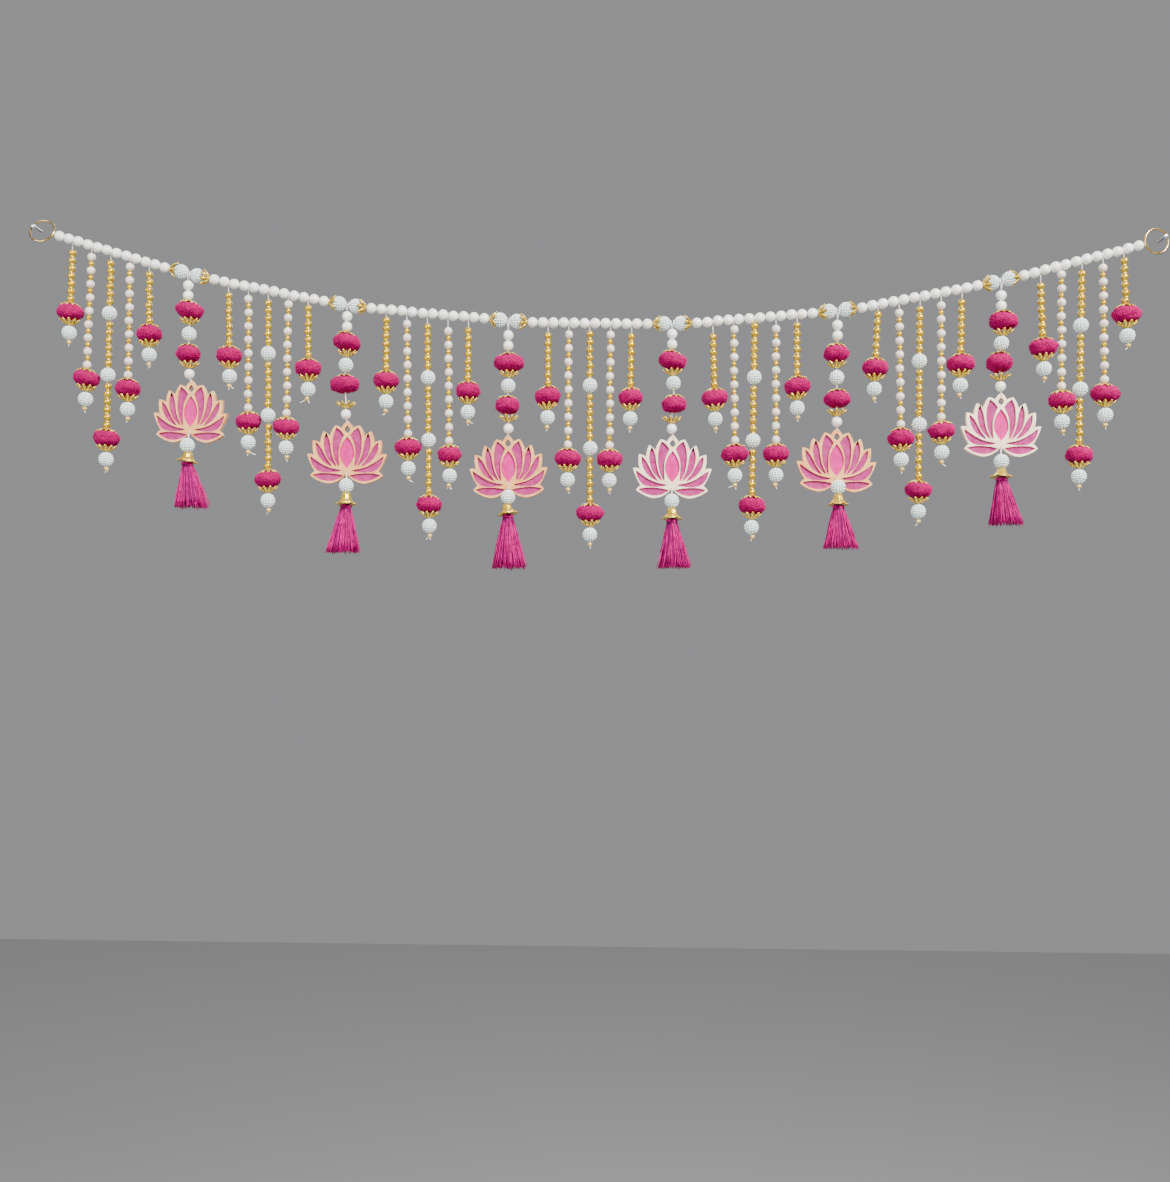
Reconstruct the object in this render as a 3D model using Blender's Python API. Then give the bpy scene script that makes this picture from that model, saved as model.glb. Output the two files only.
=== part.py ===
"""Toran door hanging: a sagging garland of pearls between two rings on two nails.

Thirty-five bead strands hang from the garland and end in a pompom and a ball. Six pendants hang
from its joints, each with two pompoms, a cut-out lotus and a silk tassel.

Sizes are in millimetres and MM turns them into metres. +X runs along the garland, +Z is up, and
-Y faces the viewer. The wall is the plane y = 0. The origin is the middle of the left nail's back.
"""

import math
from collections import namedtuple

import bmesh
import bpy
from mathutils import Vector

MM = 0.001

# Depths in front of the wall
BEAD_Y = -11.0
LOTUS_BACK_Y = -6.5
LOTUS_FRONT_Y = -10.5
LOTUS_RECESS = 1.5
TASSEL_Y = -16.9

# Gap between pieces that touch
GAP = 0.35

# Nails and rings
NAIL_R = 1.0
NAIL_HEAD_R = 1.9
NAIL_HEAD_Y = -12.6
NAIL_END_Y = -13.9
NAIL_SIDES = 6
RING_RADII = {"left": 9.6, "right": 9.35}
RING_WIRE_R = 0.8
RING_STEPS = 12
RING_SIDES = 4
NAILS = {"left": (0.0, 0.0), "right": (868.3, -18.1)}
RING_OFFSETS = {"left": (6.2, -3.4), "right": (-6.1, -3.05)}
RING_LEANS = {"left": (17.0, 0.0), "right": (0.0, 10.0)}

# Garland
PEARL_R = 4.0
PEARL_PITCH = 8.0
PEARLS_A_RUN = 12
PEARL_BAND = 1.9
PEARL_BAND_R = 3.6
NECK_R = 1.1
END_REACH = 3.6
LAST_REACH = 3.8
THREAD_R = 0.5
CAP_NARROW_R = 1.9
CAP_WIDE_R = 6.1
BALL_R = 6.0
BALL_BAND = 3.1
BALL_BAND_R = 5.2
BALL_OFFSET = 6.5
JOINT_CAP_MOUTH = 10.3

# Strands
GOLD_R = 2.85
GOLD_PITCH = 6.06
GOLD_NECK_R = 1.9
CREAM_R = 3.25
CREAM_PITCH = 10.6
SPACER_R = 1.8
POMPOM_R = 10.2
POMPOM_CAP = 7.2
STRAND_TOP = 2.3
STRAND_ARCS = (12.0, 28.0, 44.0, 60.0, 76.0)
STRAND_KINDS = ("short", "medium", "long", "medium", "short")
CREAM_BEADS = 9
LONG_GROUP = 6

# Tassels
TASSEL_LOCKS = 9
TASSEL_HEAD_R = 4.4
TASSEL_DEPTH = 0.85
TASSEL_SPREAD = 3.1
DISC_R = 9.2

Run = namedtuple("Run", "x z angle")
RUNS = (
    Run(20.0, -7.7, -16.99),
    Run(143.4, -43.6, -11.59),
    Run(266.6, -67.1, -5.63),
    Run(391.4, -79.2, -1.19),
    Run(517.0, -80.5, 4.32),
    Run(641.9, -69.9, 10.31),
    Run(763.5, -46.3, 14.25),
)

# One row for each run: the drop of each strand from the garland to its pompom
STRAND_DROPS = (
    (56.7, 104.2, 146.5, 102.9, 55.8),
    (57.0, 105.1, 147.0, 103.0, 54.6),
    (55.0, 105.1, 147.8, 107.8, 57.2),
    (56.8, 104.3, 145.9, 104.2, 56.7),
    (58.6, 102.9, 143.4, 105.1, 55.2),
    (48.2, 104.8, 146.9, 105.1, 57.1),
    (58.0, 102.0, 147.4, 105.1, 49.2),
)

# One row for each run: the lean of each strand in degrees, its foot towards +X
STRAND_LEANS = (
    (-1.7, -1.6, -0.5, -0.3, 0.2),
    (1.0, 0.5, 0.5, -0.4, 0.1),
    (0.1, 0.9, 0.9, 0.9, -0.3),
    (-0.2, -0.4, 0.1, -0.5, -0.9),
    (1.4, 0.3, -1.1, -0.2, -0.1),
    (-2.6, 0.4, -0.9, -0.2, -1.3),
    (1.7, -0.3, -1.5, 0.2, 2.0),
)

# The shortest of the short strands have one gold bead fewer
SHORT_GOLD_BEADS = 7
SHORTEST_DROP = 50.0

# One column for each pendant. Depths are below the garland's joint, and each x is from it.
PENDANTS = {
    "first_pearl_x": (-0.8, -0.3, 0.0, 0.0, 0.0, 0.2),
    "first_pearl": (9.3, 9.1, 11.6, 8.3, 11.4, 11.4),
    "upper_pompom_x": (0.8, 0.0, 0.6, 0.4, -1.0, 1.4),
    "upper_pompom": (29.0, 29.4, 33.0, 29.0, 33.0, 31.0),
    "upper_pompom_r": (10.9, 11.0, 12.0, 11.2, 9.8, 11.0),
    "middle_ball": (47.4, 46.8, 50.6, 46.0, 51.4, 47.8),
    "lower_pompom_x": (0.2, -1.6, -0.4, 1.4, -0.6, -1.8),
    "lower_pompom": (63.0, 62.0, 66.0, 62.4, 68.0, 63.0),
    "lower_pompom_r": (9.3, 11.9, 9.7, 9.8, 10.2, 10.0),
    "lower_cap": (69.6, 76.0, 73.8, 72.2, 76.2, 71.6),
    "last_pearl_x": (1.2, -0.4, 0.4, -0.4, -1.0, -1.2),
    "last_pearl": (78.8, 85.2, 83.6, 81.0, 85.2, 80.6),
    "lotus_x": (2.1, 0.4, 0.7, -0.2, -1.6, -1.0),
    "lotus_root": (121.4, 128.0, 126.0, 123.4, 127.7, 123.1),
    "lotus_turn": (1.0, 0.6, -1.0, 1.0, 1.2, 0.6),
    "lotus_width": (0.966, 1.035, 1.0, 1.0, 1.0, 1.0),
    "foot_ball_x": (2.9, 1.9, 1.0, -0.6, -1.4, -3.2),
    "foot_ball": (135.2, 141.0, 136.7, 136.7, 135.4, 138.3),
    "disc": (147.4, 154.7, 149.2, 149.6, 148.3, 149.4),
    "disc_tilt": (-9.0, 0.0, 9.0, 0.0, 0.0, -2.0),
    "silk_end_x": (7.3, -0.1, 1.9, 1.1, 0.2, -0.6),
    "silk_end": (182.7, 191.5, 190.4, 186.9, 181.0, 185.1),
}
PENDANT_COUNT = len(PENDANTS["lotus_x"])

# Lotus, right half of the outline, downwards: the tip of each petal and the valley below it
Petal = namedtuple("Petal", "tip_x tip_z valley_x valley_z")
LOTUS_TOP = 38.1
LOTUS_NOTCH = -3.0
TOP_VALLEY = (4.4, 32.6)
PETALS = (
    Petal(9.1, 34.4, 13.0, 25.9),
    Petal(17.8, 30.0, 20.0, 20.9),
    Petal(25.6, 22.9, 24.8, 11.8),
    Petal(29.8, 12.2, 23.8, -1.0),
)
LOW_PETAL = ((27.1, -4.5), (13.8, -10.5), (5.0, -7.6))

# Sunk windows of the right half, one row for each petal: from the tip down the outer side to the
# root, and back up the inner side
WINDOWS = (
    ((8.0, 32.0), (10.3, 22.5), (9.2, 10.5), (6.2, 3.2), (6.7, 14.5), (3.0, 26.8)),
    ((15.7, 27.4), (16.8, 18.5), (13.6, 8.0), (8.2, 3.2), (12.3, 15.5)),
    ((23.0, 20.2), (20.4, 10.2), (11.4, 3.0), (17.6, 12.5)),
    ((26.8, 9.3), (22.6, 0.9), (14.5, -1.3), (4.5, -0.6), (17.2, 3.0)),
    ((24.3, -4.1), (13.4, -7.9), (3.2, -4.6), (14.0, -3.2)),
)
HEART_WINDOW = ((0.0, 24.6), (4.0, 18.2), (4.6, 11.5), (0.0, 2.4))
TOP_HOLE = ((0.0, 34.3), (2.2, 31.4), (0.0, 28.6))

COLOURS = {
    "nail_steel": ((0.55, 0.56, 0.58), 0.3, 1.0),
    "ring_gold": ((0.72, 0.52, 0.24), 0.28, 1.0),
    "pearl_white": ((0.86, 0.85, 0.82), 0.28, 0.0),
    "bead_gold": ((0.78, 0.5, 0.12), 0.32, 0.9),
    "bead_cream": ((0.84, 0.77, 0.66), 0.3, 0.0),
    "pompom_magenta": ((0.68, 0.01, 0.2), 0.95, 0.0),
    "lotus_cream": ((0.9, 0.6, 0.36), 0.5, 0.0),
    "silk_magenta": ((0.55, 0.01, 0.3), 0.5, 0.0),
}


def make_material(name):
    colour, roughness, metallic = COLOURS[name]
    material = bpy.data.materials.new(name)
    material.use_nodes = True
    shader = material.node_tree.nodes["Principled BSDF"]
    shader.inputs["Base Color"].default_value = (*colour, 1.0)
    shader.inputs["Roughness"].default_value = roughness
    shader.inputs["Metallic"].default_value = metallic
    return material


def add_object(name, bm, material, smooth=True):
    bmesh.ops.recalc_face_normals(bm, faces=bm.faces)
    for face in bm.faces:
        face.smooth = smooth
    mesh = bpy.data.meshes.new(name)
    bm.to_mesh(mesh)
    bm.free()
    mesh.materials.append(material)
    thing = bpy.data.objects.new(name, mesh)
    bpy.context.scene.collection.objects.link(thing)
    return thing


def turned(x, z, degrees):
    """Turn a point of the XZ plane clockwise about the origin, as the viewer sees it."""
    angle = math.radians(degrees)
    return (
        x * math.cos(angle) + z * math.sin(angle),
        z * math.cos(angle) - x * math.sin(angle),
    )


# Bead strings: a station is a cross-section with a centre, a radius and a number of corners
Station = namedtuple("Station", "centre along radius corners depth")


def station(x, z, along, radius, corners, y=BEAD_Y, depth=1.0):
    return Station(Vector((x, y, z)), along, radius, corners, depth)


def add_ring(bm, at):
    """The corners of one cross-section. The first corner lies in the XZ plane."""
    side = Vector((-at.along[1], 0.0, at.along[0]))
    back = Vector((0.0, 1.0, 0.0))
    corners = []
    for k in range(at.corners):
        angle = 2.0 * math.pi * k / at.corners
        offset = side * math.cos(angle) + back * (math.sin(angle) * at.depth)
        corners.append(bm.verts.new((at.centre + offset * at.radius) * MM))
    return corners


def add_skin(bm, low, high, flat):
    """Join two cross-sections: four-sided faces if both are alike, and triangles if not."""
    n = len(low)
    m = len(high)
    if n == m and flat:
        for k in range(n):
            bm.faces.new((low[k], low[(k + 1) % n], high[(k + 1) % m], high[k]))
        return
    i = 0
    j = 0
    while i < n or j < m:
        if j == m or (i < n and (i + 1) / n <= (j + 1) / m):
            bm.faces.new((low[i % n], low[(i + 1) % n], high[j % m]))
            i += 1
        else:
            bm.faces.new((low[i % n], high[(j + 1) % m], high[j % m]))
            j += 1


def add_stations(bm, stations):
    """Skin all stations in turn and close the first one. Returns the last ring, still open."""
    rings = [add_ring(bm, at) for at in stations]
    bm.faces.new(rings[0])
    for k in range(len(rings) - 1):
        flat = (stations[k].along - stations[k + 1].along).length < 1e-6
        add_skin(bm, rings[k], rings[k + 1], flat)
    return rings[-1]


def make_string(name, stations, material):
    bm = bmesh.new()
    bm.faces.new(add_stations(bm, stations))
    return add_object(name, bm, material)


def direction(degrees):
    angle = math.radians(degrees)
    return Vector((math.cos(angle), math.sin(angle)))


def run_point(run, distance):
    """A point of a run's line, by its distance from the centre of the run's first pearl."""
    along = direction(run.angle)
    return Vector((run.x, run.z)) + along * distance


def joint_ends(k):
    """The pearls on both sides of a joint: the last of run k and the first of run k + 1."""
    last = run_point(RUNS[k], (PEARLS_A_RUN - 1) * PEARL_PITCH)
    first = run_point(RUNS[k + 1], 0.0)
    return last, first


def joint_middle(k):
    last, first = joint_ends(k)
    return (last + first) / 2.0


def garland_stations():
    stations = []
    for k, run in enumerate(RUNS):
        along = direction(run.angle)
        for pearl in range(PEARLS_A_RUN):
            centre = pearl * PEARL_PITCH
            first_of_run = pearl == 0
            neck = CAP_NARROW_R if first_of_run and k > 0 else NECK_R
            reach = END_REACH if first_of_run and k == 0 else PEARL_R
            for offset, radius in (
                (-reach, neck),
                (-PEARL_BAND, PEARL_BAND_R),
                (PEARL_BAND, PEARL_BAND_R),
            ):
                spot = run_point(run, centre + offset)
                stations.append(station(spot.x, spot.y, along, radius, 4))
        last = k == len(RUNS) - 1
        reach = END_REACH if last else PEARL_R
        spot = run_point(run, (PEARLS_A_RUN - 1) * PEARL_PITCH + reach)
        neck = NECK_R if last else CAP_NARROW_R
        stations.append(station(spot.x, spot.y, along, neck, 4))
        if not last:
            stations.extend(joint_stations(k))
    return stations


def joint_stations(k):
    """Two capped balls that meet at the joint, between their narrow cap ends."""
    last, first = joint_ends(k)
    along = (first - last).normalized()
    middle = (first + last) / 2.0
    half = (
        (JOINT_CAP_MOUTH, CAP_WIDE_R),
        (BALL_OFFSET + BALL_BAND - 0.4, BALL_BAND_R),
        (BALL_OFFSET - BALL_BAND, BALL_BAND_R),
        (0.6, 0.7),
    )
    offsets = [(-distance, radius) for distance, radius in half]
    offsets += [(distance, radius) for distance, radius in reversed(half)]
    stations = []
    for distance, radius in offsets:
        spot = middle + along * distance
        stations.append(station(spot.x, spot.y, along, radius, 6))
    return stations


def gold_beads(start, count):
    """Offsets and radii of a group of gold beads, each with the neck above it."""
    rows = []
    for bead in range(count):
        rows.append((start + bead * GOLD_PITCH, GOLD_NECK_R, 4))
        rows.append((start + (bead + 0.5) * GOLD_PITCH, GOLD_R, 4))
    return rows, start + count * GOLD_PITCH


def ball_rows(start):
    return [
        (start, GOLD_NECK_R, 4),
        (start + BALL_R - BALL_BAND, BALL_BAND_R, 6),
        (start + BALL_R + BALL_BAND, BALL_BAND_R, 6),
    ], start + 2.0 * BALL_R


def bead_column(kind, drop):
    """The beads of a strand above its pompom, as offsets from their top, and their length."""
    if kind == "short":
        count = SHORT_GOLD_BEADS if drop > SHORTEST_DROP else SHORT_GOLD_BEADS - 1
        return gold_beads(0.0, count)
    if kind == "long":
        rows, end = gold_beads(0.0, LONG_GROUP)
        for _ in range(2):
            ball, end = ball_rows(end)
            rows += ball
            group, end = gold_beads(end, LONG_GROUP)
            rows += group
        return rows, end
    rows = [(0.0, GOLD_NECK_R, 4)]
    end = 0.0
    for bead in range(CREAM_BEADS):
        rows.append((end + CREAM_R, CREAM_R, 4))
        end += 2.0 * CREAM_R
        if bead < CREAM_BEADS - 1:
            rows.append((end - 0.1, SPACER_R, 4))
            end = (bead + 1) * CREAM_PITCH
            rows.append((end + 0.1, SPACER_R, 4))
    return rows, end


def pompom_end():
    """The end of each strand: cap, pompom, cap, ball and knotted tail, from the pompom's middle."""
    return [
        (-POMPOM_CAP, GOLD_NECK_R, 4),
        (-3.4, 9.7, 6),
        (3.0, POMPOM_R, 6),
        (6.6, 6.4, 6),
        (10.3, 2.6, 4),
        (13.3, BALL_BAND_R, 6),
        (19.4, BALL_BAND_R, 6),
        (22.3, 1.0, 4),
        (24.4, 2.2, 4),
        (27.0, 0.7, 3),
    ]


def strand_axis(run, arc, drop, lean):
    """The top of a strand, its direction and its length down to the pompom's middle."""
    along = direction(run.angle)
    hang = run_point(run, arc)
    top = hang + Vector((along.y, -along.x)) * STRAND_TOP
    angle = math.radians(lean)
    pompom = hang + Vector((math.sin(angle), -math.cos(angle))) * drop
    return top, (pompom - top).normalized(), (pompom - top).length


def strand_stations(kind, run, arc, drop, lean):
    top, along, length = strand_axis(run, arc, drop, lean)
    rows, end = bead_column(kind, drop)
    start = length - POMPOM_CAP - end
    rows = [(start + offset, radius, corners) for offset, radius, corners in rows]
    rows[0] = (start, THREAD_R + 0.1, 4)
    rows += [(length + offset, radius, corners) for offset, radius, corners in pompom_end()]
    rows = [(0.0, THREAD_R, 3)] + rows
    stations = []
    for offset, radius, corners in rows:
        spot = top + along * offset
        stations.append(station(spot.x, spot.y, along, radius, corners))
    return stations


def chain_rows(row):
    """The upper string of a pendant: x, depth, radius and corners, downwards."""
    pearl_x = row["first_pearl_x"]
    pearl = row["first_pearl"]
    upper = row["upper_pompom"]
    lower = row["lower_pompom"]
    ball = row["middle_ball"]
    cap = row["lower_cap"]
    last = row["last_pearl"]
    upper_x = row["upper_pompom_x"]
    lower_x = row["lower_pompom_x"]
    last_x = row["last_pearl_x"]
    middle_x = (upper_x + lower_x) / 2.0
    return [
        (0.0, 1.2, 0.25, 3),
        (pearl_x, pearl - PEARL_R, THREAD_R + 0.1, 4),
        (pearl_x, pearl - PEARL_BAND, PEARL_BAND_R, 4),
        (pearl_x, pearl + PEARL_BAND, PEARL_BAND_R, 4),
        (pearl_x, pearl + PEARL_R, NECK_R, 4),
        (pearl_x, pearl + PEARL_PITCH - PEARL_BAND, PEARL_BAND_R, 4),
        (pearl_x, pearl + PEARL_PITCH + PEARL_BAND, PEARL_BAND_R, 4),
        (pearl_x, pearl + PEARL_PITCH + PEARL_R, NECK_R, 4),
        (upper_x, upper - 4.0, row["upper_pompom_r"] - 0.8, 6),
        (upper_x, upper + 3.6, row["upper_pompom_r"], 6),
        (upper_x, upper + 7.2, 6.2, 6),
        (upper_x, upper + 11.4, 2.4, 4),
        (middle_x, ball - BALL_BAND, BALL_BAND_R, 6),
        (middle_x, ball + BALL_BAND, BALL_BAND_R, 6),
        (middle_x, ball + BALL_R, 1.2, 4),
        (lower_x, lower - 4.0, row["lower_pompom_r"] - 0.8, 6),
        (lower_x, lower + 3.4, row["lower_pompom_r"], 6),
        (lower_x, lower + 6.4, 1.2, 4),
        (last_x, cap, 6.4, 6),
        (last_x, cap + 4.2, 2.0, 4),
        (last_x, last - PEARL_BAND, PEARL_BAND_R, 4),
        (last_x, last + PEARL_BAND, PEARL_BAND_R, 4),
        (last_x, last + LAST_REACH, THREAD_R, 4),
    ]


def column_of(k):
    return {key: values[k] for key, values in PENDANTS.items()}


def make_chain(k, material):
    middle = joint_middle(k)
    row = column_of(k)
    down = Vector((0.0, -1.0))
    stations = []
    for x, depth, radius, corners in chain_rows(row):
        stations.append(station(middle.x + x, middle.y - depth, down, radius, corners))
    tip_x, tip_z = turned(0.0, LOTUS_TOP, row["lotus_turn"])
    top = row["lotus_root"] - tip_z
    end_x = middle.x + row["lotus_x"] + tip_x
    stations.append(station(end_x, middle.y - top + GAP, down, THREAD_R, 3))
    return make_string(f"pendant_{k + 1}_chain", stations, material)


def mirrored(points):
    """Add the left half of an outline to its right half, from the top down. x of 0 stays single."""
    left = [(-x, z) for x, z in reversed(points) if x > 0.0]
    return list(points) + left


def lotus_outline():
    points = [(0.0, LOTUS_TOP), TOP_VALLEY]
    for petal in PETALS:
        points.append((petal.tip_x, petal.tip_z))
        points.append((petal.valley_x, petal.valley_z))
    points.extend(LOW_PETAL)
    points.append((0.0, LOTUS_NOTCH))
    return mirrored(points)


def lotus_windows():
    """The sunk windows on both sides of the middle, and the heart between them."""
    left = [[(-x, z) for x, z in window] for window in WINDOWS]
    return list(WINDOWS) + left + [mirrored(HEART_WINDOW)]


def add_loop(bm, points, y):
    return [bm.verts.new(Vector((x, y, z)) * MM) for x, z in points]


def add_wall(bm, front, back):
    n = len(front)
    for k in range(n):
        bm.faces.new((front[k], front[(k + 1) % n], back[(k + 1) % n], back[k]))


def make_lotus(k, material):
    """A flat board with the lotus's outline, its petals sunk into the front as windows."""
    middle = joint_middle(k)
    row = column_of(k)
    root = (middle.x + row["lotus_x"], middle.y - row["lotus_root"])

    def placed(points):
        spots = [turned(x * row["lotus_width"], z, row["lotus_turn"]) for x, z in points]
        return [(root[0] + x, root[1] + z) for x, z in spots]

    bm = bmesh.new()
    floor_y = LOTUS_FRONT_Y + LOTUS_RECESS
    outline = placed(lotus_outline())
    hole = placed(mirrored(TOP_HOLE))
    outer_front = add_loop(bm, outline, LOTUS_FRONT_Y)
    outer_back = add_loop(bm, outline, LOTUS_BACK_Y)
    hole_front = add_loop(bm, hole, LOTUS_FRONT_Y)
    hole_back = add_loop(bm, hole, LOTUS_BACK_Y)
    add_wall(bm, outer_front, outer_back)
    add_wall(bm, hole_front, hole_back)
    front_edges = close_loop_edges(outer_front) + close_loop_edges(hole_front)
    back_edges = close_loop_edges(outer_back) + close_loop_edges(hole_back)
    for window in lotus_windows():
        spots = placed(window)
        rim = add_loop(bm, spots, LOTUS_FRONT_Y)
        floor = add_loop(bm, spots, floor_y)
        add_wall(bm, rim, floor)
        bm.faces.new(floor)
        front_edges += close_loop_edges(rim)
    bmesh.ops.triangle_fill(bm, use_beauty=True, use_dissolve=False, edges=front_edges)
    bmesh.ops.triangle_fill(bm, use_beauty=True, use_dissolve=False, edges=back_edges)
    return add_object(f"pendant_{k + 1}_lotus", bm, material, smooth=False)


def close_loop_edges(verts):
    """The edges of a closed loop that its walls have already made."""
    edges = []
    for k in range(len(verts)):
        pair = {verts[k], verts[(k + 1) % len(verts)]}
        edges += [edge for edge in verts[k].link_edges if set(edge.verts) == pair]
    return edges


def make_tassel(k, material):
    """A ball, a bell cup and a flower disc above a head from which the silk locks fan out."""
    middle = joint_middle(k)
    row = column_of(k)
    ball = row["foot_ball"]
    disc = row["disc"]
    x = middle.x + row["foot_ball_x"]
    knot_x = middle.x + row["lotus_x"]
    knot = min(ball - 7.5, row["lotus_root"] + 2.0)
    down = Vector((0.0, -1.0))
    tilt = math.radians(row["disc_tilt"])
    level = Vector((math.sin(tilt), -math.cos(tilt)))
    rows = (
        (knot_x, knot, 0.25, down, 4, LOTUS_FRONT_Y - GAP - 0.3),
        (x, ball - BALL_R, THREAD_R, down, 4, TASSEL_Y),
        (x, ball - BALL_BAND, BALL_BAND_R, down, 6, TASSEL_Y),
        (x, ball + BALL_BAND, BALL_BAND_R, down, 6, TASSEL_Y),
        (x, ball + BALL_R - 0.3, 2.4, down, 6, TASSEL_Y),
        (x, disc - 2.4, 4.6, level, 6, TASSEL_Y),
        (x, disc - 0.4, DISC_R, level, 6, TASSEL_Y),
        (x, disc + 0.4, DISC_R, level, 6, TASSEL_Y),
        (x, disc + 0.9, TASSEL_HEAD_R, down, TASSEL_LOCKS, TASSEL_Y),
    )
    stations = []
    for at_x, depth, radius, along, corners, y in rows:
        stations.append(station(at_x, middle.y - depth, along, radius, corners, y))
    stations[-1] = stations[-1]._replace(depth=TASSEL_DEPTH)
    bm = bmesh.new()
    head = add_stations(bm, stations)
    add_locks(bm, head, Vector((x, TASSEL_Y, middle.y - disc - 0.9)), row, middle)
    return add_object(f"pendant_{k + 1}_tassel", bm, material)


def add_locks(bm, head, centre, row, middle):
    """Silk locks of three sides, each from its own part of the head's underside."""
    root = bm.verts.new(centre * MM)
    end = Vector((middle.x + row["silk_end_x"], TASSEL_Y, middle.y - row["silk_end"]))
    count = len(head)
    for k in range(count):
        corners = (root, head[k], head[(k + 1) % count])
        heart = (corners[0].co + corners[1].co + corners[2].co) / 3.0
        inner = [bm.verts.new(heart + (v.co - heart) * 0.8) for v in corners]
        lift = Vector((0.0, 0.0, 1.4 * math.sin(2.4 * k + 1.0)))
        foot = [bm.verts.new((end + lift) * MM + (v.co - root.co) * TASSEL_SPREAD) for v in inner]
        for corner in range(3):
            following = (corner + 1) % 3
            bm.faces.new((corners[corner], corners[following], inner[following], inner[corner]))
            bm.faces.new((inner[corner], inner[following], foot[following], foot[corner]))
        bm.faces.new(foot)


def make_nail(side, material):
    x, z = NAILS[side]
    rows = (
        (0.0, NAIL_R),
        (NAIL_HEAD_Y, NAIL_R),
        (NAIL_HEAD_Y - 0.01, NAIL_HEAD_R),
        (NAIL_HEAD_Y - 0.8, NAIL_HEAD_R),
        (NAIL_END_Y, NAIL_HEAD_R * 0.6),
    )
    bm = bmesh.new()
    rings = []
    for y, radius in rows:
        ring = []
        for k in range(NAIL_SIDES):
            angle = 2.0 * math.pi * (k + 0.5) / NAIL_SIDES
            spot = Vector((x + radius * math.cos(angle), y, z + radius * math.sin(angle)))
            ring.append(bm.verts.new(spot * MM))
        rings.append(ring)
    bm.faces.new(rings[0])
    for k in range(len(rings) - 1):
        add_skin(bm, rings[k], rings[k + 1], True)
    bm.faces.new(rings[-1])
    return add_object(f"nail_{side}", bm, material, smooth=False)


def ring_centre(side):
    nail = NAILS[side]
    offset = RING_OFFSETS[side]
    return Vector((nail[0] + offset[0], BEAD_Y, nail[1] + offset[1]))


def make_ring(side, material):
    """A wire ring that hangs on its nail, leaned back about X and turned about Z."""
    lean, yaw = (math.radians(value) for value in RING_LEANS[side])
    bm = bmesh.new()
    loops = []
    for step in range(RING_STEPS):
        turn = 2.0 * math.pi * step / RING_STEPS
        loop = []
        for corner in range(RING_SIDES):
            angle = 2.0 * math.pi * corner / RING_SIDES
            reach = RING_RADII[side] + RING_WIRE_R * math.cos(angle)
            spot = Vector((reach * math.cos(turn), 0.0, reach * math.sin(turn)))
            spot.y = RING_WIRE_R * math.sin(angle)
            spot = Vector(
                (
                    spot.x,
                    spot.y * math.cos(lean) + spot.z * math.sin(lean),
                    spot.z * math.cos(lean) - spot.y * math.sin(lean),
                )
            )
            spot = Vector(
                (
                    spot.x * math.cos(yaw) - spot.y * math.sin(yaw),
                    spot.x * math.sin(yaw) + spot.y * math.cos(yaw),
                    spot.z,
                )
            )
            loop.append(bm.verts.new((ring_centre(side) + spot) * MM))
        loops.append(loop)
    for step in range(RING_STEPS):
        add_skin(bm, loops[step], loops[(step + 1) % RING_STEPS], True)
    return add_object(f"ring_{side}", bm, material)


def build():
    for thing in list(bpy.data.objects):
        bpy.data.objects.remove(thing, do_unlink=True)
    materials = {name: make_material(name) for name in COLOURS}
    for side in NAILS:
        make_nail(side, materials["nail_steel"])
        make_ring(side, materials["ring_gold"])
    make_string("garland", garland_stations(), materials["pearl_white"])
    for k, run in enumerate(RUNS):
        for s, kind in enumerate(STRAND_KINDS):
            rows = strand_stations(kind, run, STRAND_ARCS[s], STRAND_DROPS[k][s], STRAND_LEANS[k][s])
            material = materials["bead_cream" if kind == "medium" else "bead_gold"]
            make_string(f"strand_{k + 1}_{s + 1}", rows, material)
    for k in range(PENDANT_COUNT):
        make_chain(k, materials["pompom_magenta"])
        make_lotus(k, materials["lotus_cream"])
        make_tassel(k, materials["silk_magenta"])


build()
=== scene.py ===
"""The looks of the toran: beads, caps, pile, silk and cut-out lotuses in place of the plain solids.

Sizes are in millimetres and MM turns them into metres. The layout tables are those of the solids.
"""

import math
from collections import namedtuple

import bpy
import numpy as np
from mathutils import Matrix, Vector
from mathutils.geometry import tessellate_polygon


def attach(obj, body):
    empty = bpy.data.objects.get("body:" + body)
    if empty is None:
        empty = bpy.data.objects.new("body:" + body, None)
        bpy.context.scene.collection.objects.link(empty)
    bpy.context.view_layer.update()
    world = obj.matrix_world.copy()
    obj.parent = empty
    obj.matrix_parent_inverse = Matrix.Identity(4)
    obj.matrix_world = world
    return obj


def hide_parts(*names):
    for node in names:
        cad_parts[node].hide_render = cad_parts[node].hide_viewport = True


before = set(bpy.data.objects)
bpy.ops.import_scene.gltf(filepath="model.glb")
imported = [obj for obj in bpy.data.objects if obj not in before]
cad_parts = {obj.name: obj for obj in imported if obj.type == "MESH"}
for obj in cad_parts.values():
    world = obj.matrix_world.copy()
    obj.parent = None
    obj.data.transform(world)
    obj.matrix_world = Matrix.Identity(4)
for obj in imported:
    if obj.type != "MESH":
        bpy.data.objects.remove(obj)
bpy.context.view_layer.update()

MM = 0.001
RNG = np.random.default_rng(11)

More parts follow.
